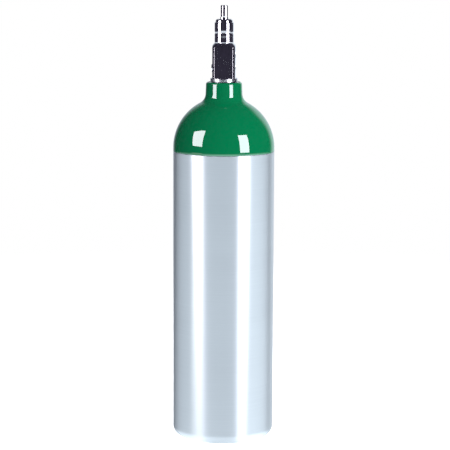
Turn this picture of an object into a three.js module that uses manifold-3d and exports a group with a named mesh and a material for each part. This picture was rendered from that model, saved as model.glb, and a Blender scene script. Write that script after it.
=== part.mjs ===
// A small medical oxygen cylinder with a pin-index post valve, in millimetres, +Z up.
// The origin is on the floor, on the cylinder's own axis. The valve's outlet faces +X.
import * as THREE from "three";
import { mergeVertices } from "three/addons/utils/BufferGeometryUtils.js";
import Module from "manifold-3d";

const wasm = await Module();
wasm.setup();

// ---- Driving dimensions ------------------------------------------------------------------

// Aluminium shell
const TANK_RADIUS = 55.6;
const TANK_HEIGHT = 395; // floor to the top face of the neck
const SHOULDER_HEIGHT = 323; // where the straight wall turns into the hemispherical shoulder
const NECK_RADIUS = 20.1; // at the fillet; the neck tapers a little towards its top
const NECK_TOP_RADIUS = 19.7;
const NECK_FILLET = 12;
const NECK_ROUNDING = 2.5;
const FOOT_CORNER = 11;
const FOOT_RING_INNER = 30; // the base stands on the ring outside this radius
const FOOT_DISH = 1.5;
const WALL = 5.6;
const BASE_THICKNESS = 10;
const INNER_DOME_RADIUS = 49.5;
const INNER_DOME_HEIGHT = 321;
const INNER_CORNER = 12;
const NECK_BORE_RADIUS = 9.7;
const GLAND_RADIUS = 13.2; // recess in the neck's top face for the O-ring
const GLAND_DEPTH = 2.7;

// Green enamel on the neck and the shoulder
const ENAMEL_EDGE = 319.2;
const ENAMEL_THICKNESS = 0.3;

// Clearance kept between pieces that touch on the real object
const GAP = 0.3;

// Valve, measured upwards from the neck's top face
const FLANGE_RADIUS = 15.05;
const FLANGE_TOP = 4.2;
const POST_BAR_RADIUS = 15; // the round bar that the post is milled from
const POST_HALF_DEPTH = 12.5; // outlet face and screw face, along X
const POST_HALF_WIDTH = 11.1; // yoke flats, along Y
const POST_TOP = 42.6;
const POST_TOP_RADIUS = 10.5; // smaller end of the 45 degree cone on the post's top
const THREAD_RADIUS = 9.4;
const THREAD_DEPTH = 0.65;
const THREAD_PITCH = 1.5875; // 16 threads to the inch
const THREAD_TURNS = 10;
const THREAD_TOP = -2.4;
const SHANK_BOTTOM = -21;

const OUTLET_HEIGHT = 29.5;
const OUTLET_RADIUS = 3.57;
const OUTLET_DEPTH = 4.6;
const OUTLET_PASSAGE_RADIUS = 1.4;
const PIN_CIRCLE_RADIUS = 14.29; // pin-index circle about the outlet
const PIN_ANGLE = THREE.MathUtils.degToRad(18); // positions 2 and 5, which are oxygen's
const PIN_HOLE_RADIUS = 2.38;
const PIN_HOLE_DEPTH = 5.5;
const SCREW_RECESS_RADIUS = 4.8;
const SCREW_RECESS_DEPTH = 3.6;
const SCREW_RECESS_TIP_RADIUS = 1;

const PASSAGE_RADIUS = 1.6;
const NOZZLE_RADIUS = 2.5;
const NOZZLE_TOP = 22.7;
const CHAMBER_RADIUS = 6.3;
const CHAMBER_FLOOR = 21.5;
const BONNET_CAVITY_RADIUS = 7.6;
const BONNET_CAVITY_FLOOR = 34.2;

const FILTER_BORE_RADIUS = 5;
const FILTER_BORE_TOP = -11;
const FILTER_THICKNESS = 2.4;
const SNAP_RING_THICKNESS = 0.8;
const INLET_TUBE_OUTER = 4.7;
const INLET_TUBE_INNER = 2.6;
const INLET_TUBE_BOTTOM = -43;

const NUT_RADIUS = 10.5;
const BONNET_BOTTOM = POST_TOP + GAP;
const BONNET_TOP = 53.3;
const NUT_GROOVE_DEPTH = 0.45; // each nut is turned down beside the joint between them
const NUT_GROOVE_FLOOR = 0.6;
const NUT_GROOVE_SLOPE = 2;
const SPIGOT_RADIUS = 7.3;
const SPIGOT_BOTTOM = 35.2;
const STEM_BORE_RADIUS = 4.5;
const COLLAR_RECESS_RADIUS = 5.6;
const COLLAR_RECESS_TOP = 38.4;
const PACKING_BORE_RADIUS = 6.4;
const PACKING_FLOOR = 46;
const PACKING_THICKNESS = 1.2;
const FOLLOWER_THICKNESS = 1;
const GLAND_NUT_BOTTOM = BONNET_TOP + GAP;
const GLAND_NUT_SHOULDER = 65;
const GLAND_NUT_TOP = 68.6;
const GLAND_CAP_RADIUS = 9.4;
const SPANNER_HOLE_RADIUS = 1;
const SPANNER_HOLE_DEPTH = 2;

const STEM_RADIUS = 4.2;
const STEM_HEAD_RADIUS = 4.1;
const STEM_HEAD_FLATS = 6.4; // across the two flats that the key grips
const STEM_HEAD_TURN = THREE.MathUtils.degToRad(-66);
const STEM_COLLAR_RADIUS = 5.3;
const STEM_COLLAR_BOTTOM = 35.6;
const STEM_COLLAR_TOP = 37.4;
const STEM_RING_BOTTOM = 69;
const STEM_RING_TOP = 70.6;
const STEM_RING_RADIUS = 4.36;
const STEM_WAIST_RADIUS = 3.8;
const STEM_HEAD_BOTTOM = 71.6;
const STEM_TOP = 83.5;
const BLADE_BOTTOM = 29.4;
const BLADE_WIDTH = 9;
const BLADE_THICKNESS = 2.2;

const PLUG_RADIUS = 6;
const PLUG_BOTTOM = 23.4;
const PLUG_TOP = 32.6;
const PLUG_NOSE_RADIUS = 4.2;
const PLUG_NOSE_HEIGHT = 1.6;
const PLUG_FLAT = 5.2; // half of the distance across the two gas flats
const PLUG_SLOT_BOTTOM = 27.2;
const PLUG_SLOT_WIDTH = BLADE_THICKNESS + 2 * GAP;
const INSERT_RADIUS = 2.9;
const INSERT_BOTTOM = NOZZLE_TOP + GAP;
const INSERT_TOP = 24.8;

const RELIEF_HEIGHT = 15.1;
const RELIEF_BORE_RADIUS = 3.6;
const RELIEF_BORE_DEPTH = 5.8;
const RELIEF_PASSAGE_RADIUS = 1;
const RELIEF_HEAD_RADIUS = 4.3;
const RELIEF_HEAD_RECESS = 0.6;
const RELIEF_HEAD_STANDS_OUT = 1.2;
const RELIEF_SHANK_RADIUS = 3.3;
const RELIEF_SLOT_WIDTH = 1;
const RELIEF_SLOT_DEPTH = 0.7;
const RELIEF_VENT_RADIUS = 0.9;
const BURST_DISC_RADIUS = 3.2;

const TANK_SEGMENTS = 36;
const NUT_SEGMENTS = 32;
const SMALL_SEGMENTS = 24;

// ---- Materials ---------------------------------------------------------------------------

const finish = (color, roughness, metalness) =>
  new THREE.MeshStandardMaterial({ color, roughness, metalness });
const brushedAluminium = finish(0xc3ccd2, 0.35, 1);
const greenEnamel = finish(0x00744a, 0.12, 0);
const chrome = finish(0xd6d6d8, 0.08, 1);
const bareBrass = finish(0xb08d57, 0.35, 1);
const sinteredBronze = finish(0x8a6a42, 0.8, 1);
const copper = finish(0xb87350, 0.3, 1);
const blackRubber = finish(0x1a1a1a, 0.7, 0);
const whitePlastic = finish(0xe8e6df, 0.5, 0);
const steel = finish(0xb8babd, 0.3, 1);

// ---- Tools -------------------------------------------------------------------------------

// Points on an arc in the (radius, height) plane, from one angle to another in degrees.
function arc(centreRadius, centreHeight, radius, from, to, steps) {
  const points = [];
  for (let i = 0; i <= steps; i++) {
    const a = THREE.MathUtils.degToRad(from + ((to - from) * i) / steps);
    points.push([centreRadius + radius * Math.cos(a), centreHeight + radius * Math.sin(a)]);
  }
  return points;
}

// A solid of revolution about Z from [radius, height] points. The profile runs anticlockwise.
function turned(profile, segments = SMALL_SEGMENTS) {
  const points = profile.map(([radius, height]) => new THREE.Vector2(radius, height));
  return new THREE.LatheGeometry(points, segments).rotateX(Math.PI / 2);
}

function ring(inner, outer, bottom, top, segments = SMALL_SEGMENTS) {
  return turned(
    [[inner, bottom], [outer, bottom], [outer, top], [inner, top], [inner, bottom]],
    segments,
  );
}

function disc(radius, bottom, top, segments = SMALL_SEGMENTS) {
  return turned([[0, bottom], [radius, bottom], [radius, top], [0, top]], segments);
}

function box(width, depth, bottom, top) {
  return new THREE.BoxGeometry(width, depth, top - bottom).translate(0, 0, (bottom + top) / 2);
}

function solidOf(geometry) {
  const bare = new THREE.BufferGeometry();
  bare.setAttribute("position", geometry.getAttribute("position"));
  bare.setIndex(geometry.getIndex());
  const merged = mergeVertices(bare, 1e-4);
  return new wasm.Manifold(
    new wasm.Mesh({
      numProp: 3,
      vertProperties: merged.attributes.position.array,
      triVerts: new Uint32Array(merged.index.array),
    }),
  );
}

function geometryOf(solid) {
  const mesh = solid.getMesh();
  return new THREE.BufferGeometry()
    .setAttribute("position", new THREE.BufferAttribute(mesh.vertProperties, 3))
    .setIndex(new THREE.BufferAttribute(mesh.triVerts, 1));
}

function cut(geometry, ...tools) {
  return geometryOf(tools.reduce((left, tool) => left.subtract(solidOf(tool)), solidOf(geometry)));
}

function join(geometry, ...others) {
  return geometryOf(others.reduce((whole, other) => whole.add(solidOf(other)), solidOf(geometry)));
}

function overlapOf(a, b) {
  return geometryOf(solidOf(a).intersect(solidOf(b)));
}

// A solid turned about Z is laid along +X, with its foot at the given height on the valve.
function alongX(geometry, height, sideways = 0) {
  return geometry.rotateY(Math.PI / 2).translate(0, sideways, height);
}

function piece(parent, name, geometry, material) {
  const mesh = new THREE.Mesh(geometry, material);
  mesh.name = name;
  parent.add(mesh);
  return mesh;
}

// ---- Aluminium shell and its enamel ------------------------------------------------------

// The outside of the shoulder and neck, upwards, moved outwards by an offset.
function shoulderProfile(offset) {
  const reach = TANK_RADIUS + NECK_FILLET;
  const fillet = NECK_RADIUS + NECK_FILLET;
  const rise = Math.sqrt(reach ** 2 - fillet ** 2);
  const meet = THREE.MathUtils.radToDeg(Math.atan2(rise, fillet));
  return [
    ...arc(0, SHOULDER_HEIGHT, TANK_RADIUS + offset, 0, meet, 9),
    ...arc(fillet, SHOULDER_HEIGHT + rise, NECK_FILLET - offset, 180 + meet, 180, 4).slice(1),
    ...arc(
      NECK_TOP_RADIUS - NECK_ROUNDING,
      TANK_HEIGHT - NECK_ROUNDING,
      NECK_ROUNDING + offset,
      0,
      75,
      3,
    ),
  ];
}

function shellGeometry() {
  const innerWall = TANK_RADIUS - WALL;
  const boreBottom =
    INNER_DOME_HEIGHT + Math.sqrt(INNER_DOME_RADIUS ** 2 - NECK_BORE_RADIUS ** 2);
  const boreAngle = THREE.MathUtils.radToDeg(
    Math.atan2(boreBottom - INNER_DOME_HEIGHT, NECK_BORE_RADIUS),
  );
  return turned(
    [
      [0, FOOT_DISH],
      [FOOT_RING_INNER - FOOT_DISH, FOOT_DISH],
      [FOOT_RING_INNER, 0],
      ...arc(TANK_RADIUS - FOOT_CORNER, FOOT_CORNER, FOOT_CORNER, -90, 0, 5),
      [TANK_RADIUS, ENAMEL_EDGE - GAP],
      [TANK_RADIUS - ENAMEL_THICKNESS - GAP, ENAMEL_EDGE - GAP],
      ...shoulderProfile(-ENAMEL_THICKNESS - GAP),
      [NECK_TOP_RADIUS - NECK_ROUNDING, TANK_HEIGHT],
      [GLAND_RADIUS, TANK_HEIGHT],
      [GLAND_RADIUS, TANK_HEIGHT - GLAND_DEPTH],
      [NECK_BORE_RADIUS, TANK_HEIGHT - GLAND_DEPTH],
      ...arc(0, INNER_DOME_HEIGHT, INNER_DOME_RADIUS, boreAngle, 8, 7),
      [innerWall, INNER_DOME_HEIGHT - 4],
      ...arc(innerWall - INNER_CORNER, BASE_THICKNESS + INNER_CORNER, INNER_CORNER, 0, -90, 4),
      [0, BASE_THICKNESS],
    ],
    TANK_SEGMENTS,
  );
}

function enamelGeometry() {
  const inside = TANK_RADIUS - ENAMEL_THICKNESS;
  return turned(
    [
      [inside, ENAMEL_EDGE],
      [TANK_RADIUS, ENAMEL_EDGE],
      ...shoulderProfile(0),
      ...shoulderProfile(-ENAMEL_THICKNESS).reverse(),
      [inside, ENAMEL_EDGE],
    ],
    TANK_SEGMENTS,
  );
}

// The round-section seal in the neck's gland, under the valve's flange.
function neckRingGeometry() {
  const section = 1.25;
  const centre = (GLAND_RADIUS + THREAD_RADIUS) / 2 + 0.1;
  return turned(arc(centre, -section, section, -180, 180, 8), SMALL_SEGMENTS);
}

// ---- Valve body --------------------------------------------------------------------------

// The yoke grips a round bar with four flats milled on it, whose top is turned to a cone.
function postGeometry() {
  const first = Math.acos(POST_HALF_DEPTH / POST_BAR_RADIUS);
  const last = Math.asin(POST_HALF_WIDTH / POST_BAR_RADIUS);
  const outline = new THREE.Shape();
  for (const [from, to] of [
    [first, last],
    [Math.PI - last, Math.PI - first],
    [Math.PI + first, Math.PI + last],
    [-last, -first],
  ]) {
    outline.absarc(0, 0, POST_BAR_RADIUS, from, to, false);
  }
  const overrun = 1;
  const bar = new THREE.ExtrudeGeometry(outline, {
    depth: POST_TOP - FLANGE_TOP + 2 * overrun,
    bevelEnabled: false,
    curveSegments: 2,
  }).translate(0, 0, FLANGE_TOP - overrun);
  const footRadius = POST_TOP_RADIUS + POST_TOP;
  const cone = turned([[0, 0], [footRadius, 0], [POST_TOP_RADIUS, POST_TOP], [0, POST_TOP]], 40);
  return overlapOf(bar, cone);
}

// The flange and the threaded shank below it. The thread is drawn as rings.
function shankGeometry() {
  const root = THREAD_RADIUS - THREAD_DEPTH;
  const profile = [[0, SHANK_BOTTOM], [root - 0.6, SHANK_BOTTOM], [root, SHANK_BOTTOM + 0.6]];
  for (let turn = THREAD_TURNS - 1; turn >= 0; turn--) {
    const crest = THREAD_TOP - (turn + 0.5) * THREAD_PITCH;
    profile.push([root, crest - THREAD_PITCH / 2], [THREAD_RADIUS, crest]);
  }
  profile.push(
    [root, THREAD_TOP],
    [root, GAP],
    [FLANGE_RADIUS - 0.4, GAP],
    [FLANGE_RADIUS, GAP + 0.4],
    [FLANGE_RADIUS, FLANGE_TOP - 0.4],
    [FLANGE_RADIUS - 0.4, FLANGE_TOP],
    [0, FLANGE_TOP],
  );
  return turned(profile, NUT_SEGMENTS);
}

// Every passage up the middle of the valve: filter bore, inlet, seat chamber, bonnet cavity.
function middleBoreGeometry() {
  return turned([
    [0, SHANK_BOTTOM - 1],
    [FILTER_BORE_RADIUS, SHANK_BOTTOM - 1],
    [FILTER_BORE_RADIUS, FILTER_BORE_TOP],
    [PASSAGE_RADIUS, FILTER_BORE_TOP + 2],
    [PASSAGE_RADIUS, NOZZLE_TOP],
    [NOZZLE_RADIUS, NOZZLE_TOP],
    [NOZZLE_RADIUS + 0.4, CHAMBER_FLOOR],
    [CHAMBER_RADIUS, CHAMBER_FLOOR],
    [CHAMBER_RADIUS, BONNET_CAVITY_FLOOR],
    [BONNET_CAVITY_RADIUS, BONNET_CAVITY_FLOOR],
    [BONNET_CAVITY_RADIUS, POST_TOP + 1],
    [0, POST_TOP + 1],
  ]);
}

function outletGeometry() {
  const face = POST_HALF_DEPTH;
  return alongX(
    turned([
      [0, CHAMBER_RADIUS - 1],
      [OUTLET_PASSAGE_RADIUS, CHAMBER_RADIUS - 1],
      [OUTLET_PASSAGE_RADIUS, face - OUTLET_DEPTH],
      [OUTLET_RADIUS, face - OUTLET_DEPTH],
      [OUTLET_RADIUS, face + 1],
      [0, face + 1],
    ]),
    OUTLET_HEIGHT,
  );
}

function pinHoles() {
  const height = OUTLET_HEIGHT - PIN_CIRCLE_RADIUS * Math.cos(PIN_ANGLE);
  const sideways = PIN_CIRCLE_RADIUS * Math.sin(PIN_ANGLE);
  return [-sideways, sideways].map((y) =>
    alongX(
      disc(PIN_HOLE_RADIUS, POST_HALF_DEPTH - PIN_HOLE_DEPTH, POST_HALF_DEPTH + 1, 20),
      height,
      y,
    ),
  );
}

// The cone that the yoke's clamping screw centres in, on the face opposite the outlet.
function screwRecessGeometry() {
  const face = -POST_HALF_DEPTH;
  return alongX(
    turned([
      [0, face - 0.5],
      [SCREW_RECESS_RADIUS, face - 0.5],
      [SCREW_RECESS_RADIUS, face],
      [SCREW_RECESS_TIP_RADIUS, face + SCREW_RECESS_DEPTH],
      [0, face + SCREW_RECESS_DEPTH],
    ]),
    OUTLET_HEIGHT,
  );
}

function reliefPortGeometry() {
  const face = -POST_HALF_DEPTH;
  return alongX(
    turned([
      [0, face - 1],
      [RELIEF_HEAD_RADIUS + GAP, face - 1],
      [RELIEF_HEAD_RADIUS + GAP, face + RELIEF_HEAD_RECESS],
      [RELIEF_BORE_RADIUS, face + RELIEF_HEAD_RECESS],
      [RELIEF_BORE_RADIUS, face + RELIEF_BORE_DEPTH],
      [RELIEF_PASSAGE_RADIUS, face + RELIEF_BORE_DEPTH],
      [RELIEF_PASSAGE_RADIUS, 0],
      [0, 0],
    ]),
    RELIEF_HEIGHT,
  );
}

function valveBodyGeometry() {
  return cut(
    join(postGeometry(), shankGeometry()),
    middleBoreGeometry(),
    outletGeometry(),
    ...pinHoles(),
    screwRecessGeometry(),
    reliefPortGeometry(),
  );
}

// ---- Bonnet, gland and packing -----------------------------------------------------------

function bonnetNutGeometry() {
  return turned(
    [
      [STEM_BORE_RADIUS, COLLAR_RECESS_TOP],
      [COLLAR_RECESS_RADIUS, COLLAR_RECESS_TOP],
      [COLLAR_RECESS_RADIUS, SPIGOT_BOTTOM],
      [SPIGOT_RADIUS, SPIGOT_BOTTOM],
      [SPIGOT_RADIUS, BONNET_BOTTOM],
      [NUT_RADIUS - 0.4, BONNET_BOTTOM],
      [NUT_RADIUS, BONNET_BOTTOM + 0.4],
      [NUT_RADIUS, BONNET_TOP - NUT_GROOVE_FLOOR - NUT_GROOVE_SLOPE],
      [NUT_RADIUS - NUT_GROOVE_DEPTH, BONNET_TOP - NUT_GROOVE_FLOOR],
      [NUT_RADIUS - NUT_GROOVE_DEPTH, BONNET_TOP],
      [PACKING_BORE_RADIUS, BONNET_TOP],
      [PACKING_BORE_RADIUS, PACKING_FLOOR],
      [STEM_BORE_RADIUS, PACKING_FLOOR],
      [STEM_BORE_RADIUS, COLLAR_RECESS_TOP],
    ],
    NUT_SEGMENTS,
  );
}

function glandNutGeometry() {
  const spigotRadius = PACKING_BORE_RADIUS - GAP;
  const spigotBottom =
    PACKING_FLOOR + 2 * (PACKING_THICKNESS + GAP) + GAP + FOLLOWER_THICKNESS + GAP;
  const holes = [-1, 1].map((side) =>
    disc(SPANNER_HOLE_RADIUS, GLAND_NUT_TOP - SPANNER_HOLE_DEPTH, GLAND_NUT_TOP + 1, 12).translate(
      side * (STEM_BORE_RADIUS + GLAND_CAP_RADIUS) * 0.5,
      0,
      0,
    ),
  );
  const nut = turned(
    [
      [STEM_BORE_RADIUS, spigotBottom],
      [spigotRadius, spigotBottom],
      [spigotRadius, GLAND_NUT_BOTTOM],
      [NUT_RADIUS - NUT_GROOVE_DEPTH, GLAND_NUT_BOTTOM],
      [NUT_RADIUS - NUT_GROOVE_DEPTH, GLAND_NUT_BOTTOM + NUT_GROOVE_FLOOR],
      [NUT_RADIUS, GLAND_NUT_BOTTOM + NUT_GROOVE_FLOOR + NUT_GROOVE_SLOPE],
      [NUT_RADIUS, GLAND_NUT_SHOULDER - 0.6],
      [NUT_RADIUS - 0.6, GLAND_NUT_SHOULDER],
      [GLAND_CAP_RADIUS, GLAND_NUT_SHOULDER + 0.2],
      [GLAND_CAP_RADIUS - 0.1, GLAND_NUT_TOP - 0.4],
      [GLAND_CAP_RADIUS - 0.5, GLAND_NUT_TOP],
      [STEM_BORE_RADIUS, GLAND_NUT_TOP],
      [STEM_BORE_RADIUS, spigotBottom],
    ],
    NUT_SEGMENTS,
  );
  return cut(nut, ...holes);
}

// ---- Stem and seat plug ------------------------------------------------------------------

function stemGeometry() {
  const turnedStem = turned([
    [0, STEM_COLLAR_BOTTOM],
    [STEM_COLLAR_RADIUS, STEM_COLLAR_BOTTOM],
    [STEM_COLLAR_RADIUS, STEM_COLLAR_TOP],
    [STEM_RADIUS, STEM_COLLAR_TOP],
    [STEM_RADIUS, STEM_RING_BOTTOM],
    [STEM_RING_RADIUS, STEM_RING_BOTTOM],
    [STEM_RING_RADIUS, STEM_RING_TOP],
    [STEM_WAIST_RADIUS, STEM_RING_TOP + 0.3],
    [STEM_WAIST_RADIUS, STEM_HEAD_BOTTOM],
    [STEM_HEAD_RADIUS, STEM_HEAD_BOTTOM + 0.3],
    [STEM_HEAD_RADIUS, STEM_TOP - 0.4],
    [STEM_HEAD_RADIUS - 0.4, STEM_TOP],
    [0, STEM_TOP],
  ]);
  const blade = box(BLADE_WIDTH, BLADE_THICKNESS, BLADE_BOTTOM, STEM_COLLAR_BOTTOM + 0.5);
  const waste = [-1, 1].map((side) =>
    box(2 * STEM_HEAD_RADIUS + 1, STEM_HEAD_RADIUS, STEM_HEAD_BOTTOM + 0.5, STEM_TOP + 1)
      .translate(0, (side * (STEM_HEAD_FLATS + STEM_HEAD_RADIUS)) / 2, 0)
      .rotateZ(STEM_HEAD_TURN),
  );
  return cut(join(turnedStem, blade), ...waste);
}

function seatPlugGeometry() {
  const pocketRadius = INSERT_RADIUS + GAP;
  const plug = turned([
    [0, INSERT_TOP + GAP],
    [pocketRadius, INSERT_TOP + GAP],
    [pocketRadius, PLUG_BOTTOM],
    [PLUG_NOSE_RADIUS, PLUG_BOTTOM],
    [PLUG_NOSE_RADIUS, PLUG_BOTTOM + PLUG_NOSE_HEIGHT],
    [PLUG_RADIUS, PLUG_BOTTOM + PLUG_NOSE_HEIGHT],
    [PLUG_RADIUS, PLUG_TOP],
    [0, PLUG_TOP],
  ]);
  const slot = box(2 * PLUG_RADIUS + 2, PLUG_SLOT_WIDTH, PLUG_SLOT_BOTTOM, PLUG_TOP + 1);
  const gasFlats = [-1, 1].map((side) =>
    box(2 * PLUG_RADIUS, PLUG_RADIUS, PLUG_BOTTOM - 1, PLUG_TOP + 1).translate(
      0,
      side * (PLUG_FLAT + PLUG_RADIUS / 2),
      0,
    ),
  );
  return cut(plug, slot, ...gasFlats);
}

// ---- Pressure relief, in a frame whose +Z points out of the screw face ---------------------

function reliefPlugGeometry(discTop) {
  const plug = turned([
    [RELIEF_VENT_RADIUS, discTop],
    [RELIEF_SHANK_RADIUS, discTop],
    [RELIEF_SHANK_RADIUS, -RELIEF_HEAD_RECESS + 0.1],
    [RELIEF_HEAD_RADIUS, -RELIEF_HEAD_RECESS + 0.1],
    [RELIEF_HEAD_RADIUS, RELIEF_HEAD_STANDS_OUT - 0.25],
    [RELIEF_HEAD_RADIUS - 0.25, RELIEF_HEAD_STANDS_OUT],
    [RELIEF_VENT_RADIUS, RELIEF_HEAD_STANDS_OUT],
    [RELIEF_VENT_RADIUS, discTop],
  ]);
  const slot = box(
    2 * RELIEF_HEAD_RADIUS + 1,
    RELIEF_SLOT_WIDTH,
    RELIEF_HEAD_STANDS_OUT - RELIEF_SLOT_DEPTH,
    RELIEF_HEAD_STANDS_OUT + 1,
  );
  return cut(plug, slot);
}

// ---- Assembly ----------------------------------------------------------------------------

const cylinder = new THREE.Group();
piece(cylinder, "cylinder_shell", shellGeometry(), brushedAluminium);
piece(cylinder, "shoulder_enamel", enamelGeometry(), greenEnamel);

const valve = new THREE.Group();
valve.position.z = TANK_HEIGHT;
cylinder.add(valve);
piece(valve, "neck_o_ring", neckRingGeometry(), blackRubber);
piece(valve, "valve_body", valveBodyGeometry(), chrome);

const filterBottom = FILTER_BORE_TOP - GAP - FILTER_THICKNESS;
const snapRingBottom = filterBottom - GAP - SNAP_RING_THICKNESS;
const boreFit = FILTER_BORE_RADIUS - GAP;
piece(valve, "inlet_filter", disc(boreFit, filterBottom, FILTER_BORE_TOP - GAP), sinteredBronze);
piece(
  valve,
  "filter_snap_ring",
  ring(boreFit - 1, boreFit, snapRingBottom, snapRingBottom + SNAP_RING_THICKNESS),
  steel,
);
piece(
  valve,
  "inlet_tube",
  ring(INLET_TUBE_INNER, INLET_TUBE_OUTER, INLET_TUBE_BOTTOM, snapRingBottom - GAP),
  bareBrass,
);

piece(valve, "seat_insert", disc(INSERT_RADIUS, INSERT_BOTTOM, INSERT_TOP), whitePlastic);
piece(valve, "seat_plug", seatPlugGeometry(), bareBrass);
piece(valve, "valve_stem", stemGeometry(), chrome);
piece(
  valve,
  "thrust_washer",
  ring(STEM_BORE_RADIUS, STEM_COLLAR_RADIUS, STEM_COLLAR_TOP + 0.2, COLLAR_RECESS_TOP - 0.2),
  whitePlastic,
);
piece(
  valve,
  "bonnet_gasket",
  ring(CHAMBER_RADIUS + 0.1, SPIGOT_RADIUS, BONNET_CAVITY_FLOOR + 0.2, SPIGOT_BOTTOM - 0.2),
  copper,
);
piece(valve, "bonnet_nut", bonnetNutGeometry(), chrome);

const packingInner = STEM_BORE_RADIUS;
const packingOuter = PACKING_BORE_RADIUS - GAP;
let packingBottom = PACKING_FLOOR + GAP;
for (const name of ["packing_ring_lower", "packing_ring_upper"]) {
  const packing = ring(
    packingInner,
    packingOuter,
    packingBottom,
    packingBottom + PACKING_THICKNESS,
  );
  piece(valve, name, packing, whitePlastic);
  packingBottom += PACKING_THICKNESS + GAP;
}
piece(
  valve,
  "packing_follower",
  ring(packingInner, packingOuter, packingBottom, packingBottom + FOLLOWER_THICKNESS),
  bareBrass,
);
piece(valve, "gland_nut", glandNutGeometry(), chrome);

const relief = new THREE.Group();
relief.position.set(-POST_HALF_DEPTH, 0, RELIEF_HEIGHT);
relief.rotation.y = -Math.PI / 2;
valve.add(relief);
const gasketBottom = -RELIEF_BORE_DEPTH + 0.2;
const discBottom = gasketBottom + 0.5 + 0.2;
const discTop = discBottom + 0.3 + 0.2;
piece(
  relief,
  "relief_gasket",
  ring(RELIEF_PASSAGE_RADIUS + 0.4, BURST_DISC_RADIUS, gasketBottom, gasketBottom + 0.5),
  whitePlastic,
);
piece(relief, "burst_disc", disc(BURST_DISC_RADIUS, discBottom, discBottom + 0.3), copper);
piece(relief, "relief_plug", reliefPlugGeometry(discTop), chrome);

export default cylinder;
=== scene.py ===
import math

import bpy
import numpy as np
from mathutils import Matrix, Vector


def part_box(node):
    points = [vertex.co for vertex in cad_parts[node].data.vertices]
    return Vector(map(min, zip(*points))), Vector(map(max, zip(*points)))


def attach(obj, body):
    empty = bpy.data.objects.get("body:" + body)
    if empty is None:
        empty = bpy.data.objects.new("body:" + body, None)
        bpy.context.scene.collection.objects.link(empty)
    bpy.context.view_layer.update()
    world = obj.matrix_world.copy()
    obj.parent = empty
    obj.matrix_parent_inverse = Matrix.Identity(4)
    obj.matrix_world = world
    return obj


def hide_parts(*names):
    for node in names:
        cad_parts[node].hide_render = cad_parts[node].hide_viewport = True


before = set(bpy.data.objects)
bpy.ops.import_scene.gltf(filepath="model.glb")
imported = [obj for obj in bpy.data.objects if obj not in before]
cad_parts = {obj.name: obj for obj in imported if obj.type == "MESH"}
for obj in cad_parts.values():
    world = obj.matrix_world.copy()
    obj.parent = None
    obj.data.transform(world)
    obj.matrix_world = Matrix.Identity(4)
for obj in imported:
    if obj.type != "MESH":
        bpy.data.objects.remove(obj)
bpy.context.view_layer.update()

mm = 0.001

# ---- Camera ------------------------------------------------------------------------------
# A long lens a little above the valve, two metres off, tilted down at the middle of the
# cylinder. It looks straight at one yoke flat of the valve, a few degrees round to the outlet.
camera_distance = 2.1
camera_height = 0.5512
camera_azimuth = math.radians(3.5)
camera_tilt = math.radians(8.52)
camera_yaw = math.radians(-0.045)
camera_roll = math.radians(0.216)
focal_length_per_picture_width = 4.263

camera_data = bpy.data.cameras.new("camera")
camera_data.sensor_width = 36
camera_data.lens = focal_length_per_picture_width * camera_data.sensor_width
camera = bpy.data.objects.new("camera", camera_data)
bpy.context.collection.objects.link(camera)
camera.matrix_world = (
    Matrix.Rotation(camera_azimuth, 4, "Z")
    @ Matrix.Translation((0, -camera_distance, camera_height))
    @ Matrix.Rotation(camera_yaw, 4, "Z")
    @ Matrix.Rotation(math.pi / 2 - camera_tilt, 4, "X")
    @ Matrix.Rotation(camera_roll, 4, "Z")
)
bpy.context.scene.camera = camera
bpy.context.scene.view_settings.view_transform = "Standard"


# ---- Floor -------------------------------------------------------------------------------
# A white table top that fades into the white backdrop behind it.
floor_radius = 1.3
floor_fade_start = 0.4
floor_glow = 0.8  # lit from beneath, like a light table
floor_white = (0.86, 0.86, 0.86)
floor_roughness = 0.6


def add_node(tree, kind, inputs=None, **settings):
    """Adds a node. settings are the node's own properties. Each input is a value for that
    socket, or another node's output to link to it."""
    node = tree.nodes.new(kind)
    for name, value in settings.items():
        setattr(node, name, value)
    for name, value in (inputs or {}).items():
        if isinstance(value, bpy.types.NodeSocket):
            tree.links.new(value, node.inputs[name])
        else:
            node.inputs[name].default_value = value
    return node


def math_node(tree, operation, *inputs):
    """The output of a Math node that works on these values or outputs."""
    return add_node(
        tree, "ShaderNodeMath", dict(enumerate(inputs)), operation=operation
    ).outputs[0]


def smooth_step(tree, value, start, end, low=0.0, high=1.0):
    """low where value is at start, high where it is at end, and an S curve in between."""
    return add_node(
        tree,
        "ShaderNodeMapRange",
        {"Value": value, "From Min": start, "From Max": end, "To Min": low, "To Max": high},
        interpolation_type="SMOOTHSTEP",
    ).outputs["Result"]


def new_material(name, colour, roughness, metallic=0.0, **sockets):
    """A Principled material. Returns the material, its node tree and its shader."""
    material = bpy.data.materials.new(name)
    material.use_nodes = True
    tree = material.node_tree
    shader = tree.nodes["Principled BSDF"]
    shader.inputs["Base Color"].default_value = (*colour, 1)
    shader.inputs["Roughness"].default_value = roughness
    shader.inputs["Metallic"].default_value = metallic
    for socket, value in sockets.items():
        shader.inputs[socket.replace("_", " ")].default_value = value
    return material, tree, shader


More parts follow.
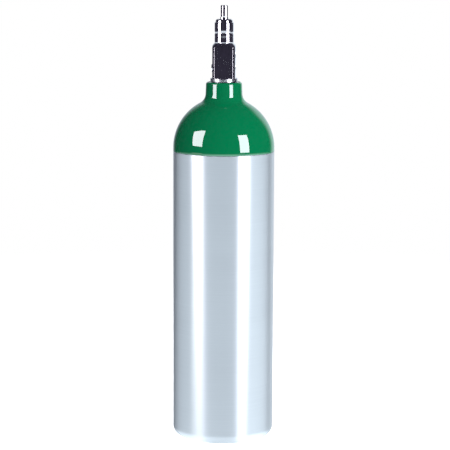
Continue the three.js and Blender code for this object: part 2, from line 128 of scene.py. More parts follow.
def polar_disc(name, radius, rings, segments):
    """A flat mesh of points t (cos a, sin a, 0), for t from 0 to the radius and a once round."""
    t = np.linspace(0, radius, rings + 1)[1:, None]
    a = np.linspace(0, 2 * math.pi, segments, endpoint=False)[None, :]
    ring_points = np.stack([t * np.cos(a), t * np.sin(a), 0 * t * a], -1).reshape(-1, 3)
    points = np.concatenate([[[0, 0, 0]], ring_points])
    column = np.arange(segments)
    after = (column + 1) % segments
    first = np.stack([0 * column, 1 + column, 1 + after], -1)
    row = 1 + segments * np.arange(rings - 1)[:, None]
    quads = np.stack(
        [row + column, row + segments + column, row + segments + after, row + after], -1
    )
    mesh = bpy.data.meshes.new(name)
    mesh.from_pydata(points.tolist(), [], first.tolist() + quads.reshape(-1, 4).tolist())
    return mesh


floor = bpy.data.objects.new("floor", polar_disc("floor", floor_radius, rings=12, segments=96))
bpy.context.collection.objects.link(floor)
glowing_white, tree, shader = new_material(
    "floor_white",
    floor_white,
    floor_roughness,
    Emission_Color=(1, 1, 1, 1),
    Emission_Strength=floor_glow,
)
place = add_node(tree, "ShaderNodeTexCoord").outputs["Object"]
distance = add_node(
    tree, "ShaderNodeVectorMath", {0: place}, operation="LENGTH"
).outputs["Value"]
fade = smooth_step(tree, distance, floor_fade_start, floor_radius)
clear = add_node(tree, "ShaderNodeBsdfTransparent").outputs[0]
mix = add_node(tree, "ShaderNodeMixShader", {0: fade, 1: shader.outputs[0], 2: clear})
tree.links.new(mix.outputs[0], tree.nodes["Material Output"].inputs["Surface"])
floor.data.materials.append(glowing_white)
floor.visible_glossy = False
floor.visible_diffuse = False


# ---- Studio ------------------------------------------------------------------------------
# A bright table all round, a white screen behind, a dark room behind the camera, and two soft
# boxes. Matt surfaces get a soft fill, stronger from the right.
# A pair in degrees is an azimuth or an elevation where a light starts to change and where it
# has changed. Azimuth 0 is the -Y side, and it grows towards +X.
room_colour = (0.021, 0.019, 0.031)
room_patch_scale = 14.0
room_patch_light = (0.4, 3.0)  # darkest, brightest
table_colour = (0.90, 1.0, 1.09)
table_light = 2.8
table_light_right = 3.9
table_turns_right = (42, 75)
table_light_behind = (1.4, 1.5)  # left, right
table_turns_behind = (112, 165)
table_middle_behind = (-10, 10)
table_under_object = 0.5
table_shade_starts = (-62, -72)
table_far_edge = (-9, -20)
screen_light = (0.65, 0.95)  # left, right
screen_left_edge = (-138, -168)
screen_right_edge = (131, 150)
screen_top_edge = (40, 22)
fill_light = (0.1, 2.0)
fill_grows = (-95, 5)

world = bpy.data.worlds.new("studio")
bpy.context.scene.world = world
world.cycles.sampling_method = "NONE"
world.use_nodes = True
tree = world.node_tree
direction = add_node(tree, "ShaderNodeTexCoord").outputs["Generated"]
axes = add_node(tree, "ShaderNodeSeparateXYZ", {0: direction}).outputs
elevation = math_node(tree, "ARCSINE", axes["Z"])
azimuth = math_node(tree, "ARCTAN2", axes["X"], math_node(tree, "MULTIPLY", axes["Y"], -1))
aside = math_node(tree, "ABSOLUTE", azimuth)


def world_step(value, start, end, low=0.0, high=1.0):
    """smooth_step in the world's tree, with its ends in degrees."""
    return smooth_step(tree, value, math.radians(start), math.radians(end), low, high)


def between(factor, low, high):
    """low where factor is 0, high where it is 1. Both are outputs or numbers."""
    return add_node(
        tree, "ShaderNodeMix", {"Factor": factor, "A": low, "B": high}
    ).outputs["Result"]


table = between(
    world_step(aside, *table_turns_behind),
    world_step(azimuth, *table_turns_right, table_light, table_light_right),
    world_step(azimuth, *table_middle_behind, *table_light_behind),
)
table = between(world_step(elevation, *table_shade_starts), table, table_under_object)
table = math_node(tree, "MULTIPLY", table, world_step(elevation, *table_far_edge))
screen_left = world_step(azimuth, *screen_left_edge, 0, screen_light[0])
screen_right = world_step(azimuth, *screen_right_edge, 0, screen_light[1])
screen = math_node(
    tree,
    "MULTIPLY",
    math_node(tree, "MAXIMUM", screen_left, screen_right),
    world_step(elevation, *screen_top_edge),
)
brightest = math_node(tree, "MAXIMUM", table, screen)
studio = add_node(
    tree, "ShaderNodeVectorMath", {0: table_colour, 3: brightest}, operation="SCALE"
).outputs[0]
patches = add_node(
    tree, "ShaderNodeTexNoise", {"Vector": direction, "Scale": room_patch_scale, "Detail": 2.0}
).outputs["Fac"]
room = add_node(
    tree,
    "ShaderNodeVectorMath",
    {0: room_colour, 3: smooth_step(tree, patches, 0.35, 0.65, *room_patch_light)},
    operation="SCALE",
).outputs[0]
studio = add_node(tree, "ShaderNodeVectorMath", {0: studio, 1: room}, operation="ADD").outputs[0]
rays = add_node(tree, "ShaderNodeLightPath").outputs
fill = world_step(azimuth, *fill_grows, *fill_light)
fill = add_node(tree, "ShaderNodeCombineColor", {0: fill, 1: fill, 2: fill}).outputs[0]
for_matt = add_node(
    tree,
    "ShaderNodeMix",
    {"Factor": rays["Is Diffuse Ray"], "A": studio, "B": fill},
    data_type="RGBA",
)
seen = add_node(
    tree,
    "ShaderNodeMix",
    {"Factor": rays["Is Camera Ray"], "A": for_matt.outputs["Result"], "B": (1, 1, 1, 1)},
    data_type="RGBA",
)
tree.links.new(seen.outputs["Result"], tree.nodes["Background"].inputs["Color"])


def soft_box(name, distance, corners, radiance, colour):
    """A glowing upright panel at that distance from the cylinder's axis. Each corner is an
    azimuth in degrees, measured from the camera's side towards the valve's outlet, and a height
    above the floor: point = (distance sin a, -distance cos a, height)."""
    a = np.radians([corner[0] for corner in corners]) + camera_azimuth
    heights = np.array([corner[1] for corner in corners])
    points = np.stack([distance * np.sin(a), -distance * np.cos(a), heights], -1)
    mesh = bpy.data.meshes.new(name)
    mesh.from_pydata(points.tolist(), [], [tuple(range(len(corners)))])
    panel = bpy.data.objects.new(name, mesh)
    bpy.context.collection.objects.link(panel)
    glow, tree, shader = new_material(
        name, (0, 0, 0), 1.0, Emission_Color=(*colour, 1), Emission_Strength=radiance
    )
    mesh.materials.append(glow)
    panel.visible_camera = False
    panel.visible_diffuse = False
    panel.visible_shadow = False


soft_box(
    "left_soft_box",
    0.47,
    [(-71, 0.363), (-47.5, 0.363), (-49, 0.685), (-79, 0.575)],
    9.3,
    (1.0, 0.96, 1.06),
)
soft_box(
    "left_card",
    0.47,
    [(-73, 0.03), (-48, 0.03), (-48, 0.255), (-73, 0.255)],
    1.3,
    (1.0, 1.0, 0.97),
)
soft_box(
    "right_soft_box",
    0.6,
    [(35.5, 0.268), (57, 0.268), (57.5, 0.635), (34.5, 0.67)],
    10,
    (1.0, 0.99, 1.12),
)


# ---- Cylinder shell ----------------------------------------------------------------------
# One seamless aluminium shell, drawn from a slug and closed to a dome and a neck. Its wall is
# brushed round and round on a lathe and left bare, and its neck is bored for the valve.
tank_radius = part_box("cylinder_shell")[1].x
tank_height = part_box("cylinder_shell")[1].z
shoulder_height = 323 * mm
neck_radius = 20.1 * mm
neck_top_radius = 19.7 * mm
neck_fillet = 12 * mm
neck_rounding = 2.5 * mm
rim_turn = 75  # degrees of the neck's rounding before its flat top
foot_corner = 11 * mm
foot_ring_inner = 30 * mm
foot_dish = 1.5 * mm
wall = 5.6 * mm
base_thickness = 10 * mm
inner_dome_radius = 49.5 * mm
inner_dome_height = 321 * mm
inner_corner = 12 * mm
neck_bore_radius = 9.7 * mm
gland_radius = 13.2 * mm
gland_depth = 2.7 * mm
enamel_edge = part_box("shoulder_enamel")[0].z
enamel_thickness = 0.25 * mm
enamel_clearance = 0.1 * mm
step_rounding = 0.2 * mm  # where the bare wall steps in under the enamel
step_depth = enamel_thickness + enamel_clearance
flat_guard = 1 * mm  # how close to an arc the straight wall has its last point
brush_line_density = 900
brush_line_drift = 14
cloud_density = (9, 9, 60)
aluminium_tint = ((0.585, 0.615, 0.63, 1), (0.635, 0.665, 0.68, 1))
aluminium_roughness = 0.36
roughness_change = 0.05  # from the clouds, and as much again from the lines
brush_line_depth = 0.02 * mm


def arc(centre_r, centre_z, radius, start, end, step=2.0):
    """Points centre + radius (cos a, sin a), a from start to end in degrees, a few degrees
    apart."""
    count = max(2, int(abs(end - start) / step) + 1)
    a = np.radians(np.linspace(start, end, count))
    return np.stack([centre_r + radius * np.cos(a), centre_z + radius * np.sin(a)], -1)


def outline(*stretches):
    """Joins points and arcs, in order, into one outline."""
    return np.concatenate([np.atleast_2d(np.asarray(stretch, float)) for stretch in stretches])


def shoulder_outline(offset):
    """The outside of the shoulder and neck, upwards and moved out by offset: a circle about a
    point on the axis, a hollow fillet that meets it, the tapering neck and its rounded rim."""
    reach = neck_radius + neck_fillet
    rise = math.sqrt((tank_radius + neck_fillet) ** 2 - reach**2)
    meet = math.degrees(math.atan2(rise, reach))
    rim = neck_top_radius - neck_rounding, tank_height - neck_rounding
    return outline(
        arc(0, shoulder_height, tank_radius + offset, 0, meet),
        arc(reach, shoulder_height + rise, neck_fillet - offset, 180 + meet, 180, 4)[1:],
        arc(*rim, neck_rounding + offset, 0, rim_turn, 8),
    )


def surface(name, points, closed_profile, smooth_angle=30):
    """A mesh from a grid of points, points[i, j]: i runs once round the axis and j along the
    profile. A profile that isn't closed starts and ends on the axis, at a single point."""
    around, along = points.shape[:2]
    i = np.arange(around)[:, None]
    after_i = (i + 1) % around
    if closed_profile:
        vertices = points.reshape(-1, 3)
        j = np.arange(along)[None, :]
        after_j = (j + 1) % along
        quads = np.stack(
            [i * along + j, after_i * along + j, after_i * along + after_j, i * along + after_j],
            -1,
        ).reshape(-1, 4)
        faces = quads.tolist()
        uv = np.stack(
            np.broadcast_arrays(
                np.stack([i, i + 1, i + 1, i], -1) / around,
                np.stack([j, j, j + 1, j + 1], -1) / along,
            ),
            -1,
        ).reshape(-1, 2)
    else:
        inner = along - 2
        bottom, top = around * inner, around * inner + 1
        ends = points[0, [0, -1]]
        vertices = np.concatenate([points[:, 1:-1].reshape(-1, 3), ends])
        j = np.arange(inner - 1)[None, :]
        quads = np.stack(
            [i * inner + j, after_i * inner + j, after_i * inner + j + 1, i * inner + j + 1], -1
        ).reshape(-1, 4)
        i, after_i = i[:, 0], after_i[:, 0]
        first = np.stack([after_i * inner, i * inner, 0 * i + bottom], -1)
        last = np.stack([i * inner, after_i * inner, 0 * i + top], -1) + [inner - 1, inner - 1, 0]
        faces = quads.tolist() + first.tolist() + last.tolist()
        j = j + 1
        turn = i[:, None]
        uv = np.stack(
            np.broadcast_arrays(
                np.stack([turn, turn + 1, turn + 1, turn], -1) / around,
                np.stack([j, j, j + 1, j + 1], -1) / along,
            ),
            -1,
        ).reshape(-1, 2)
        middle = (i + 0.5) / around
        fan = np.stack([(i + 1) / around, i / around, middle], -1)
        uv = np.concatenate(
            [
                uv,
                np.stack([fan, fan * 0 + [1 / along, 1 / along, 0]], -1).reshape(-1, 2),
                np.stack([fan[:, [1, 0, 2]], fan * 0 + [1 - 1 / along, 1 - 1 / along, 1]], -1)
                .reshape(-1, 2),
            ]
        )
    mesh = bpy.data.meshes.new(name)
    mesh.from_pydata(vertices.tolist(), [], faces)
    mesh.uv_layers.new(name="round").data.foreach_set("uv", uv.ravel())
    mesh.shade_smooth()
    mesh.set_sharp_from_angle(angle=math.radians(smooth_angle))
    piece = bpy.data.objects.new(name, mesh)
    bpy.context.collection.objects.link(piece)
    return piece


def turned(name, profile, segments=128):
    """A solid of revolution: each profile point (r, z) goes round the axis as (r cos a,
    r sin a, z). The profile runs anticlockwise, so that the faces point out."""
    closed = profile[0, 0] > 0
    if closed and np.allclose(profile[0], profile[-1]):
        profile = profile[:-1]
    a = np.linspace(0, 2 * math.pi, segments, endpoint=False)[:, None]
    r, z = profile[None, :, 0], profile[None, :, 1]
    grid = np.stack([r * np.cos(a), r * np.sin(a), z + 0 * a], -1)
    return surface(name, grid, closed)


def rounded(corners, step=15.0):
    """An outline with rounded corners. Each corner is (r, z, radius): the arc that replaces it
    touches both of its sides, so it starts radius x tan(turn / 2) before it. A point close to
    each end of an arc keeps the sides between them flat when they are shaded."""
    points = np.array([corner[:2] for corner in corners], float)
    radii = [corner[2] if len(corner) > 2 else 0 for corner in corners]
    before = points - np.roll(points, 1, 0)
    after = np.roll(points, -1, 0) - points
    stretches = []
    for point, back, on, radius in zip(points, before, after, radii):
        if not radius:
            stretches.append(point)
            continue
        back, on = back / np.linalg.norm(back), on / np.linalg.norm(on)
        turn = math.atan2(back[0] * on[1] - back[1] * on[0], back @ on)
        cut = radius * math.tan(abs(turn) / 2)
        side = math.copysign(1, turn) * np.array([-back[1], back[0]])
        centre = point - cut * back + radius * side
        start = math.degrees(math.atan2(-side[1], -side[0]))
        curve = arc(*centre, radius, start, start + math.degrees(turn), step)
        guard = 0.15 * radius
        stretches += [curve[0] - guard * back, curve, curve[-1] + guard * on]
    return outline(*stretches)


brushed_aluminium, tree, shader = new_material(
    "brushed_aluminium", (0.6, 0.63, 0.65), 0.42, 1.0, Anisotropic=1.0, Anisotropic_Rotation=0.25
)
tangent = add_node(tree, "ShaderNodeTangent", direction_type="UV_MAP", uv_map="round")
tree.links.new(tangent.outputs[0], shader.inputs["Tangent"])
place = add_node(tree, "ShaderNodeTexCoord").outputs["Object"]
stretch = add_node(
    tree,
    "ShaderNodeVectorMath",
    {0: place, 1: (brush_line_drift, brush_line_drift, brush_line_density)},
    operation="MULTIPLY",
).outputs[0]
lines = add_node(
    tree, "ShaderNodeTexNoise", {"Vector": stretch, "Scale": 1.0, "Detail": 3.0}
).outputs["Fac"]
wide = add_node(
    tree, "ShaderNodeVectorMath", {0: place, 1: cloud_density}, operation="MULTIPLY"
).outputs[0]
cloud = add_node(
    tree, "ShaderNodeTexNoise", {"Vector": wide, "Scale": 1.0, "Detail": 2.0}
).outputs["Fac"]
tint = add_node(
    tree,
    "ShaderNodeMix",
    {"Factor": lines, "A": aluminium_tint[0], "B": aluminium_tint[1]},
    data_type="RGBA",
)
tree.links.new(tint.outputs["Result"], shader.inputs["Base Color"])
rough = math_node(tree, "MULTIPLY_ADD", cloud, roughness_change, aluminium_roughness)
rough = math_node(tree, "MULTIPLY_ADD", lines, roughness_change, rough)
tree.links.new(rough, shader.inputs["Roughness"])
grooves = add_node(
    tree, "ShaderNodeBump", {"Strength": 0.04, "Distance": brush_line_depth, "Height": lines}
)
tree.links.new(grooves.outputs[0], shader.inputs["Normal"])

inner_wall = tank_radius - wall
bore_bottom = inner_dome_height + math.sqrt(inner_dome_radius**2 - neck_bore_radius**2)
bore_angle = math.degrees(math.atan2(bore_bottom - inner_dome_height, neck_bore_radius))
shell = turned(
    "shell",
    outline(
        (0, foot_dish),
        (foot_ring_inner - foot_dish, foot_dish),
        arc(foot_ring_inner, foot_dish, foot_dish, 180, 270, 15),
        arc(tank_radius - foot_corner, foot_corner, foot_corner, -90, 0, 4),
        (tank_radius, foot_corner + flat_guard),
        (tank_radius, enamel_edge - flat_guard),
        arc(
            tank_radius - step_rounding,
            enamel_edge - enamel_clearance - step_rounding,
            step_rounding,
            0,
            90,
            30,
        ),
        (tank_radius - step_depth, enamel_edge - enamel_clearance),
        shoulder_outline(-step_depth),
        (gland_radius, tank_height),
        (gland_radius, tank_height - gland_depth),
        (neck_bore_radius, tank_height - gland_depth),
        arc(0, inner_dome_height, inner_dome_radius, bore_angle, 8, 4),
        (inner_wall, inner_dome_height - 4 * mm),
        arc(
            inner_wall - inner_corner, base_thickness + inner_corner, inner_corner, 0, -90, 6
        ),
        (0, base_thickness),
    ),
    192,
)
shell.data.materials.append(brushed_aluminium)
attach(shell, "cylinder")
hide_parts("cylinder_shell")


# ---- Shoulder enamel ---------------------------------------------------------------------
# Green stoving enamel sprayed over the shoulder and neck and masked off in a clean line just
# below the shoulder. It is glossy, with slight orange peel.
enamel_green = (0.0, 0.125, 0.046)
enamel_rounding = 0.1 * mm
peel_scale = 420.0
wave_scale = 70.0
wave_share = 3.0  # how much higher the waves stand than the peel
peel_height = 0.1 * mm
green_enamel, tree, shader = new_material(
    "green_enamel",
    enamel_green,
    0.5,
    Specular_IOR_Level=0.0,
    Coat_Weight=1.0,
    Coat_Roughness=0.02,
    Coat_IOR=1.8,
)
place = add_node(tree, "ShaderNodeTexCoord").outputs["Object"]
peel = add_node(
    tree, "ShaderNodeTexNoise", {"Vector": place, "Scale": peel_scale, "Detail": 2.0}
).outputs["Fac"]
waves = add_node(
    tree, "ShaderNodeTexNoise", {"Vector": place, "Scale": wave_scale, "Detail": 1.0}
).outputs["Fac"]
skin = math_node(tree, "MULTIPLY_ADD", waves, wave_share, peel)
ripple = add_node(
    tree, "ShaderNodeBump", {"Strength": 0.06, "Distance": peel_height, "Height": skin}
)
tree.links.new(ripple.outputs[0], shader.inputs["Coat Normal"])

enamel = turned(
    "enamel",
    outline(
        (tank_radius - enamel_thickness, enamel_edge),
        arc(tank_radius, enamel_edge + enamel_rounding, enamel_rounding, -90, 0, 30),
        shoulder_outline(enamel_rounding),
        shoulder_outline(-enamel_thickness)[::-1],
    ),
    192,
)
enamel.data.materials.append(green_enamel)
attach(enamel, "cylinder")
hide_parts("shoulder_enamel")


# ---- Valve body --------------------------------------------------------------------------
# One piece of brass, chrome plated: a threaded shank, a round flange that sits on the neck, and
# a post that a regulator's yoke slides over. The post is a bar with four flats milled on it.
body_low, body_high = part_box("valve_body")
valve_base = tank_height
flange_radius = 15.05 * mm
flange_bottom = valve_base + 0.3 * mm
flange_top = valve_base + 4.2 * mm
flange_draft = 0.05 * mm
flange_rounding = 0.4 * mm
flange_roughness = 0.16
post_bar_radius = 15 * mm
post_half_depth = 12.5 * mm
post_half_width = 11.1 * mm
post_top = body_high.z
post_top_radius = 10.5 * mm
edge_softness = 0.12 * mm
bore_rounding = 0.2 * mm
crisp_rounding = 0.1 * mm
thread_radius = 9.4 * mm
thread_depth = 0.65 * mm
thread_pitch = 25.4 / 16 * mm
thread_top = valve_base - 2.4 * mm
shank_bottom = body_low.z
shank_wall_edge = 0.4 * mm

# The stepped bore down the middle, from the top.
cavity_radius = 7.6 * mm
cavity_floor = valve_base + 34.2 * mm
chamber_radius = 6.3 * mm
chamber_floor = valve_base + 21.5 * mm
nozzle_foot_radius = 2.9 * mm
nozzle_radius = 2.5 * mm
nozzle_top = valve_base + 22.7 * mm
passage_radius = 1.6 * mm
filter_bore_radius = 5 * mm
filter_bore_top = valve_base - 11 * mm

# The holes in the outlet face, +X, and in the opposite face.
cutter_clearance = 1 * mm
outlet_height = valve_base + 29.5 * mm
outlet_radius = 3.57 * mm
outlet_depth = 4.6 * mm
outlet_chamfer = 0.35 * mm
outlet_passage_radius = 1.4 * mm
outlet_passage_end = 5.5 * mm  # from the axis, inside the chamber
pin_circle_radius = 14.29 * mm
pin_angle = math.radians(18)
pin_radius = 2.38 * mm
pin_depth = 5.5 * mm
pin_drill_point = 1.2 * mm
screw_recess_radius = 4.8 * mm
screw_recess_depth = 3.6 * mm
screw_recess_tip = 1 * mm
relief_height = valve_base + 15.1 * mm
relief_head_radius = 4.6 * mm
relief_head_depth = 0.6 * mm
relief_bore_radius = 3.6 * mm
relief_bore_depth = 5.8 * mm
relief_passage_radius = 1 * mm

# The finish.
chrome_colour = (0.80, 0.79, 0.80)
smudge_scale = 90.0
smudge_roughness = (0.03, 0.13)  # clean, smudged
buffing_density = (330, 330, 70)
buffing_strength = 0.6
buffing_depth = 0.06 * mm


def soft_least(a, b, softness):
    """The smaller of a and b, blended by a parabola where they differ by less than softness,
    which rounds the edge between the two surfaces that they give."""
    near = np.maximum(softness - abs(a - b), 0) / softness
    return np.minimum(a, b) - softness * near**2 / 4


def post_radius(a, z):
    """How far the post's surface is from its axis at angle a and height z: the least of the
    round bar, the four flats (half width / cos or sin a), and the 45 degree cone on top."""
    depth_flat = post_half_depth / np.maximum(abs(np.cos(a)), 0.01)
    width_flat = post_half_width / np.maximum(abs(np.sin(a)), 0.01)
    cone = post_top_radius + post_top - z + 0 * a
    radius = soft_least(depth_flat, width_flat, edge_softness)
    radius = soft_least(radius, post_bar_radius + 0 * a, edge_softness)
    return soft_least(radius, cone, edge_softness)


def thread_surface(a, z):
    """A right-hand thread's radius: a rounded saw tooth of z / pitch - a / one turn, which
    fades to the root at both ends."""
    phase = z / thread_pitch - a / (2 * math.pi)
    tooth = 1 - abs(2 * (phase % 1) - 1)
    fade = np.clip((thread_top - z) / thread_pitch, 0, 1)
    fade *= np.clip((z - shank_bottom) / thread_pitch - 0.3, 0, 1)
    return thread_radius - thread_depth * (1 - np.clip(1.3 * tooth, 0, 1) * fade)


def angles_round(segments, edges=()):
    """Angles once round, evenly spaced, with eleven more close to each edge, whose angles are
    in degrees."""
    even = np.linspace(0, 360, segments, endpoint=False)
    near = (np.array(edges)[:, None] + np.linspace(-1, 1, 11)).ravel() % 360
    clear = np.min(abs(even[:, None] - near), 1, initial=360) > 0.15
    return np.radians(np.sort(np.concatenate([even[clear], near])))


def carried(stretches, angles):
    """A grid of points for a body that isn't round all the way up. Each stretch is a pair of
    heights z and a radius, which is a number for each z or a function of angle and z."""
    a = angles[:, None]
    columns = []
    for z, radius in stretches:
        z = np.atleast_1d(z)[None, :]
        r = radius(a, z) if callable(radius) else np.atleast_1d(radius)[None, :]
        columns.append(np.stack(np.broadcast_arrays(r * np.cos(a), r * np.sin(a), z), -1))
    return np.concatenate(columns, 1)


def stretch_of(profile):
    """The heights and radii of a round stretch."""
    profile = np.atleast_2d(profile)
    return profile[:, 1], profile[:, 0]


def cylinder_along_x(name, profile, height, sideways=0.0, segments=48):
    """A solid of revolution laid along X: its own axis becomes +X at that height."""
    piece = turned(name, np.array(profile, float), segments)
    piece.data.transform(
        Matrix.Translation((0, sideways, height)) @ Matrix.Rotation(math.pi / 2, 4, "Y")
    )
    return piece


def cut_away(piece, *cutters):
    """Takes the cutters out of the piece with exact booleans, and deletes them."""
    for cutter in cutters:
        modifier = piece.modifiers.new("cut", "BOOLEAN")
        modifier.object = cutter
        modifier.solver = "EXACT"
    evaluated = piece.evaluated_get(bpy.context.evaluated_depsgraph_get())
    mesh = bpy.data.meshes.new_from_object(evaluated)
    piece.modifiers.clear()
    piece.data = mesh
    for cutter in cutters:
        bpy.data.objects.remove(cutter)
    mesh.shade_smooth()
    mesh.set_sharp_from_angle(angle=math.radians(30))


thread_root = thread_radius - thread_depth
flange = rounded(
    [
        (thread_root, flange_bottom, crisp_rounding),
        (flange_radius - flange_draft, flange_bottom, flange_rounding),
        (flange_radius, flange_top, flange_rounding),
        (thread_radius, flange_top),
    ]
)[:-1]
middle = rounded(
    [
        (post_top_radius - 0.2 * mm, post_top, 0),
        (cavity_radius, post_top, bore_rounding),
        (cavity_radius, cavity_floor, bore_rounding),
        (chamber_radius, cavity_floor, bore_rounding),
        (chamber_radius, chamber_floor, 0.5 * mm),
        (nozzle_foot_radius, chamber_floor, bore_rounding),
        (nozzle_radius, nozzle_top, crisp_rounding),
        (passage_radius, nozzle_top, crisp_rounding),
        (passage_radius, filter_bore_top + 2 * mm, crisp_rounding),
        (filter_bore_radius, filter_bore_top, crisp_rounding),
        (filter_bore_radius, shank_bottom, crisp_rounding),
        (thread_root - shank_wall_edge, shank_bottom, 0.3 * mm),
    ]
)
width_edge = math.degrees(math.asin(post_half_width / post_bar_radius))
depth_edge = math.degrees(math.acos(post_half_depth / post_bar_radius))
post_edges = [
    half_turn + side * edge
    for half_turn in (0, 180)
    for side in (-1, 1)
    for edge in (width_edge, depth_edge)
]
thread_heights = np.arange(shank_bottom + shank_wall_edge, thread_top, thread_pitch / 8)
post_heights = np.concatenate(
    [
        np.arange(flange_top, post_top - 9 * mm, 0.6 * mm),
        np.arange(post_top - 9 * mm, post_top, 0.2 * mm),
        [post_top],
    ]
)
valve_body = surface(
    "post_valve",
    carried(
        [
            (thread_heights, thread_surface),
            stretch_of((thread_root, thread_top)),
            stretch_of(flange),
            (post_heights, post_radius),
            stretch_of(middle),
        ],
        angles_round(240, post_edges),
    ),
    True,
)
face = post_half_depth
outlet_cut = cylinder_along_x(
    "outlet_cut",
    [
        (0, outlet_passage_end),
        (outlet_passage_radius, outlet_passage_end),
        (outlet_passage_radius, face - outlet_depth),
        (outlet_radius, face - outlet_depth),
        (outlet_radius, face - outlet_chamfer),
        (outlet_radius + 2 * outlet_chamfer, face + outlet_chamfer),
        (0, face + outlet_chamfer),
    ],
    outlet_height,
)
pin_cuts = [
    cylinder_along_x(
        "pin_cut",
        [
            (0, face - pin_depth - pin_drill_point),
            (pin_radius, face - pin_depth),
            (pin_radius, face - 0.2 * mm),
            (pin_radius + 0.5 * mm, face + 0.3 * mm),
            (0, face + 0.3 * mm),
        ],
        outlet_height - pin_circle_radius * math.cos(pin_angle),
        side * pin_circle_radius * math.sin(pin_angle),
    )
    for side in (-1, 1)
]
screw_cut = cylinder_along_x(
    "screw_cut",
    [
        (0, -face - cutter_clearance),
        (screw_recess_radius + cutter_clearance, -face - cutter_clearance),
        (screw_recess_radius, -face),
        (screw_recess_tip, -face + screw_recess_depth),
        (0, -face + screw_recess_depth + 0.2 * mm),
    ],
    outlet_height,
)
relief_cut = cylinder_along_x(
    "relief_cut",
    [
        (0, -face - cutter_clearance),
        (relief_head_radius, -face - cutter_clearance),
        (relief_head_radius, -face + relief_head_depth),
        (relief_bore_radius, -face + relief_head_depth),
        (relief_bore_radius, -face + relief_bore_depth),
        (relief_passage_radius, -face + relief_bore_depth),
        (relief_passage_radius, 0),
        (0, 0),
    ],
    relief_height,
)
cut_away(valve_body, outlet_cut, *pin_cuts, screw_cut, relief_cut)

chrome_plate, tree, shader = new_material("chrome_plate", chrome_colour, 0.05, 1.0)
place = add_node(tree, "ShaderNodeTexCoord").outputs["Object"]
smudges = add_node(
    tree, "ShaderNodeTexNoise", {"Vector": place, "Scale": smudge_scale, "Detail": 4.0}
).outputs["Fac"]
height = add_node(tree, "ShaderNodeSeparateXYZ", {0: place}).outputs["Z"]
matt_flange = smooth_step(
    tree, height, flange_top + 0.2 * mm, flange_top - 0.4 * mm, 0, flange_roughness
)
rough = math_node(
    tree, "ADD", smooth_step(tree, smudges, 0.35, 0.75, *smudge_roughness), matt_flange
)
tree.links.new(rough, shader.inputs["Roughness"])
polish = add_node(
    tree, "ShaderNodeVectorMath", {0: place, 1: buffing_density}, operation="MULTIPLY"
).outputs[0]
polish = add_node(
    tree, "ShaderNodeTexNoise", {"Vector": polish, "Scale": 1.0, "Detail": 2.0}
).outputs["Fac"]
buffed = add_node(
    tree,
    "ShaderNodeBump",
    {"Strength": buffing_strength, "Distance": buffing_depth, "Height": polish},
)
tree.links.new(buffed.outputs[0], shader.inputs["Normal"])
valve_body.data.materials.clear()
valve_body.data.materials.append(chrome_plate)
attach(valve_body, "cylinder")
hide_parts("valve_body")


# ---- Bonnet nut --------------------------------------------------------------------------
# A round chrome-plated nut screwed into the top of the post. It holds down the stem's collar
# and carries the packing. It is turned down a little beside its joint with the gland nut.
bonnet_low, bonnet_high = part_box("bonnet_nut")
nut_radius = bonnet_high.x
stem_bore = 4.5 * mm
collar_recess_radius = 5.6 * mm
collar_recess_top = valve_base + 38.4 * mm
spigot_radius = 7.3 * mm
groove_depth = 0.45 * mm
groove_floor = 0.6 * mm
groove_slope = 2.0 * mm
slope_depth = 0.15 * mm
packing_bore = 6.4 * mm
packing_floor = valve_base + 46 * mm
bonnet_seat = valve_base + 42.9 * mm
bonnet = turned(
    "bonnet",
    rounded(
        [
            (stem_bore, collar_recess_top, 0.1 * mm),
            (collar_recess_radius, collar_recess_top, 0.15 * mm),
            (collar_recess_radius, bonnet_low.z, 0.1 * mm),
            (spigot_radius, bonnet_low.z, 0.3 * mm),
            (spigot_radius, bonnet_seat, 0.1 * mm),
            (nut_radius, bonnet_seat, 0.45 * mm),
            (nut_radius, bonnet_high.z - groove_floor - 2.2 * groove_slope, 0.05 * mm),
            (
                nut_radius - slope_depth,
                bonnet_high.z - groove_floor - 2.1 * groove_slope,
                0.05 * mm,
            ),
            (nut_radius, bonnet_high.z - groove_floor - groove_slope, 0.15 * mm),
            (nut_radius, bonnet_high.z - groove_floor - groove_depth, 0.15 * mm),
            (nut_radius - groove_depth, bonnet_high.z - groove_floor, 0.15 * mm),
            (nut_radius - groove_depth, bonnet_high.z, 0.1 * mm),
            (packing_bore, bonnet_high.z, 0.1 * mm),
            (packing_bore, packing_floor, 0.15 * mm),
            (stem_bore, packing_floor, 0.1 * mm),
        ]
    ),
)
bonnet.data.materials.append(chrome_plate)
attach(bonnet, "cylinder")
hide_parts("bonnet_nut")


# ---- Gland nut ---------------------------------------------------------------------------
# The nut above it, which presses on the packing round the stem. Its cap is stepped in and has
# two blind holes for a pin spanner.
gland_low, gland_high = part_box("gland_nut")
gland_seat = bonnet_high.z + 0.3 * mm
gland_shoulder = valve_base + 65 * mm
cap_radius = 9.4 * mm
cap_rounding = 2.2 * mm
gland_spigot_radius = packing_bore - 0.3 * mm
spanner_hole_radius = 1 * mm
spanner_hole_depth = 2 * mm
gland = turned(
    "gland",
    rounded(
        [
            (stem_bore, gland_low.z, 0.1 * mm),
            (gland_spigot_radius, gland_low.z, 0.1 * mm),
            (gland_spigot_radius, gland_seat, 0.1 * mm),
            (nut_radius - groove_depth, gland_seat, 0.15 * mm),
            (nut_radius - groove_depth, gland_seat + groove_floor, 0.1 * mm),
            (nut_radius - slope_depth, gland_seat + groove_floor + 0.3 * mm, 0.1 * mm),
            (nut_radius, gland_seat + groove_floor + groove_slope, 0.3 * mm),
            (nut_radius, gland_shoulder, 0.9 * mm),
            (cap_radius, gland_shoulder + 0.1 * mm, 0.1 * mm),
            (cap_radius, gland_high.z, cap_rounding),
            (stem_bore, gland_high.z, 0.2 * mm),
        ]
    ),
)
spanner_hole_spacing = (stem_bore + cap_radius) / 2
spanner_cuts = []
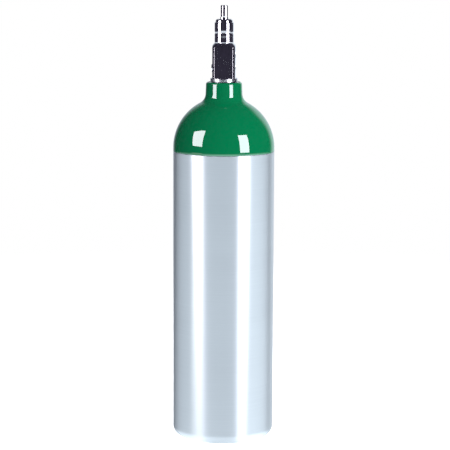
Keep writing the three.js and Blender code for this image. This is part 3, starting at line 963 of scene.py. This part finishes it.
for side in (-1, 1):
    spanner_cut = turned(
        "spanner_cut",
        np.array(
            [
                (0, -spanner_hole_depth - 0.2 * mm),
                (spanner_hole_radius, -spanner_hole_depth),
                (spanner_hole_radius, cutter_clearance),
                (0, cutter_clearance),
            ]
        ),
        segments=32,
    )
    spanner_cut.data.transform(
        Matrix.Translation((side * spanner_hole_spacing, 0, gland_high.z))
    )
    spanner_cuts.append(spanner_cut)
cut_away(gland, *spanner_cuts)
gland.data.materials.clear()
gland.data.materials.append(chrome_plate)
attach(gland, "cylinder")
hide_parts("gland_nut")


# ---- Valve stem --------------------------------------------------------------------------
# A turned, plated stem. A blade on its foot drives the seat plug, a collar under the bonnet
# stops it from being blown out, and two flats on its head take the key.
stem_low, stem_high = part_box("valve_stem")
stem_radius = 4.2 * mm
head_radius = 4.1 * mm
head_half_flats = 3.2 * mm
head_turn = math.radians(-66)
head_bottom = valve_base + 71.6 * mm
blade_half_width = 4.5 * mm
blade_half_thickness = 1.1 * mm
collar_radius = 5.3 * mm
collar_bottom = valve_base + 35.6 * mm
collar_top = valve_base + 37.4 * mm
ring_radius = 4.36 * mm
waist_radius = 3.8 * mm
ring_bottom = valve_base + 69 * mm
ring_top = valve_base + 70.6 * mm


def blade_radius(a, z):
    """The blade's section, a rectangle: the least of half width / cos a and half thickness /
    sin a."""
    along = blade_half_width / np.maximum(abs(np.cos(a)), 0.01)
    across = blade_half_thickness / np.maximum(abs(np.sin(a)), 0.01)
    return soft_least(along, across, 0.2 * mm) + 0 * z


def head_section(a, z):
    """A circle with two flats: the least of its radius and half flats / cos a, turned to where
    the flats face, and a small chamfer that takes it in near the top."""
    flats = head_half_flats / np.maximum(abs(np.sin(a - head_turn)), 0.01)
    chamfer = head_radius - 0.5 * mm + stem_high.z - z + 0 * a
    return soft_least(soft_least(flats, head_radius + 0 * a, 0.25 * mm), chamfer, 0.25 * mm)


stem = surface(
    "stem",
    carried(
        [
            (np.array([stem_low.z]), np.array([0.0])),
            (np.array([stem_low.z]), lambda a, z: blade_radius(a, z) - 0.15 * mm),
            (np.array([stem_low.z + 0.15 * mm, collar_bottom]), blade_radius),
            stretch_of(
                rounded(
                    [
                        (1 * mm, collar_bottom),
                        (collar_radius, collar_bottom, 0.15 * mm),
                        (collar_radius, collar_top, 0.15 * mm),
                        (stem_radius, collar_top, 0.15 * mm),
                        (stem_radius, ring_bottom, 0.05 * mm),
                        (ring_radius, ring_bottom + 0.1 * mm, 0.15 * mm),
                        (ring_radius, ring_top, 0.3 * mm),
                        (waist_radius, ring_top + 0.3 * mm, 0.2 * mm),
                        (waist_radius, head_bottom - 0.1 * mm, 0.1 * mm),
                    ]
                )[1:]
            ),
            (
                np.concatenate(
                    [
                        [head_bottom],
                        np.linspace(head_bottom + 0.3 * mm, stem_high.z - 1.2 * mm, 12),
                        np.linspace(stem_high.z - 1 * mm, stem_high.z, 8),
                    ]
                ),
                head_section,
            ),
            (np.array([stem_high.z]), np.array([0.0])),
        ],
        angles_round(160),
    ),
    False,
)
stem.data.materials.append(chrome_plate)
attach(stem, "stem")
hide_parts("valve_stem")
